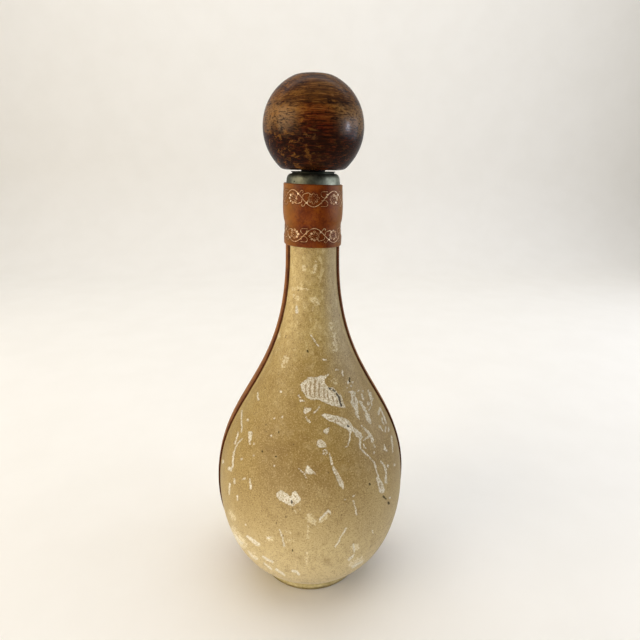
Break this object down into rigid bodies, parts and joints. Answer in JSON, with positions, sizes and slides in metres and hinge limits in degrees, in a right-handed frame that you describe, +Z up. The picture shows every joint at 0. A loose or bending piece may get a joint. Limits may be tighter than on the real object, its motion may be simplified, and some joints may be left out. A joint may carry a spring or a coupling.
{
  "type": "leather-wrapped decanter",
  "caption": "Pear-shaped glass decanter in a glued leather jacket with raised side strips, a tooled leather neck band, a metal mouth and a ball stopper on a cork that lifts out.",
  "frame": {"origin": "middle of the underside of the foot, on the table", "axes": "+Z up along the bottle's axis, -Y out of the front leather panel, +X towards the right side strip"},
  "size_m": [0.1208, 0.1186, 0.3043],
  "materials": {
    "bottle_glass": "clear blown glass, slightly green",
    "cream_leather": "aged tan-cream leather, satin, scuffed and flaking",
    "brown_leather": "reddish brown leather, satin",
    "foot_leather": "olive tan leather, matt",
    "pewter": "aged satin pewter with a greenish tarnish",
    "walnut": "dark oiled walnut, satin",
    "ebonised_wood": "black stained wood",
    "cork": "raw cork, matt"
  },
  "bodies": {
    "bottle": {"glass_bottle": "bottle_glass", "front_leather_panel": "cream_leather", "back_leather_panel": "cream_leather", "left_side_strip": "brown_leather", "right_side_strip": "brown_leather", "neck_band": "brown_leather", "foot_band": "foot_leather", "base_pad": "foot_leather", "neck_ferrule": "pewter"},
    "stopper": {"stopper_ball": "walnut", "stopper_shank": "ebonised_wood", "cork_plug": "cork"}
  },
  "joints": [
    {"name": "stopper_lift", "type": "slide", "parent": "bottle", "child": "stopper", "axis": [0, 0, 1], "range_m": [0, 0.06]}
  ]
}
